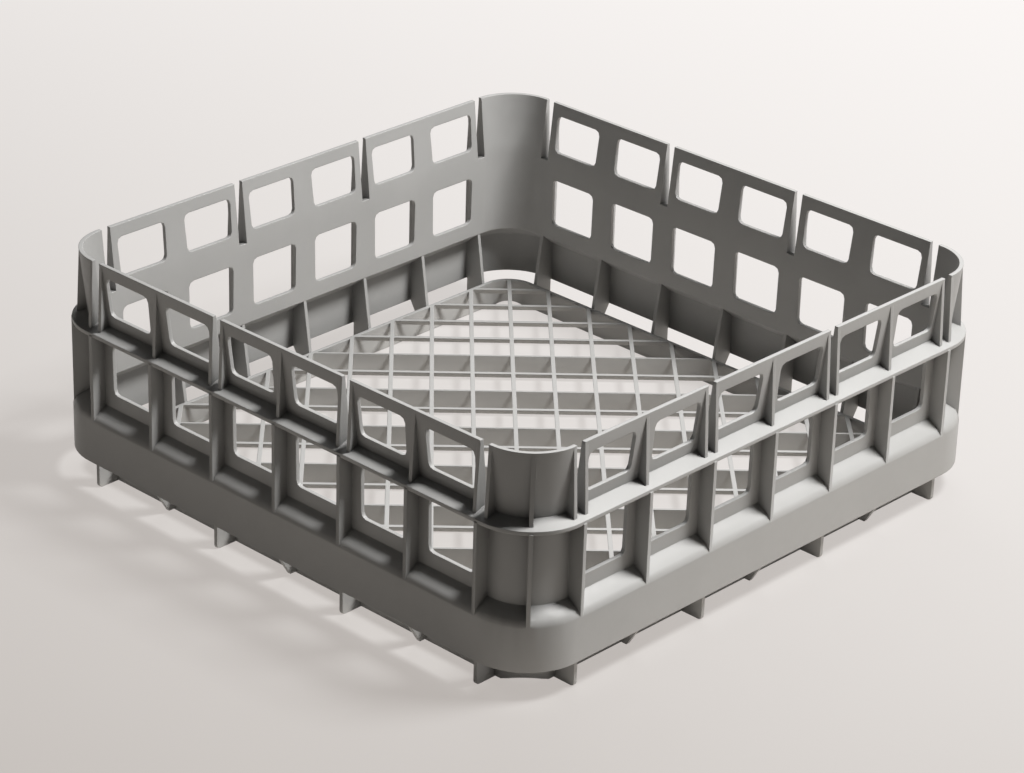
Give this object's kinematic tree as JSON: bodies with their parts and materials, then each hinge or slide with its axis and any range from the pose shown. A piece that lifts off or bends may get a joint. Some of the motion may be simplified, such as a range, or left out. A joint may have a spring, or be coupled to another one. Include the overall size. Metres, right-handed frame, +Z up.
{
  "type": "dishwasher glass rack",
  "caption": "Square open-topped moulded rack for washing glasses, with windowed leaning walls, outer flange, solid lower band, diagonal grid base and short feet.",
  "frame": {"origin": "centre of the square plan, on the floor plane under the feet", "axes": "+Z up, X and Y square to the sides"},
  "size_m": [0.4, 0.4, 0.1465],
  "materials": {
    "rack_plastic": "satin moulded warm grey polypropylene"
  },
  "bodies": {
    "root": {"glass_rack": "rack_plastic"}
  },
  "joints": []
}
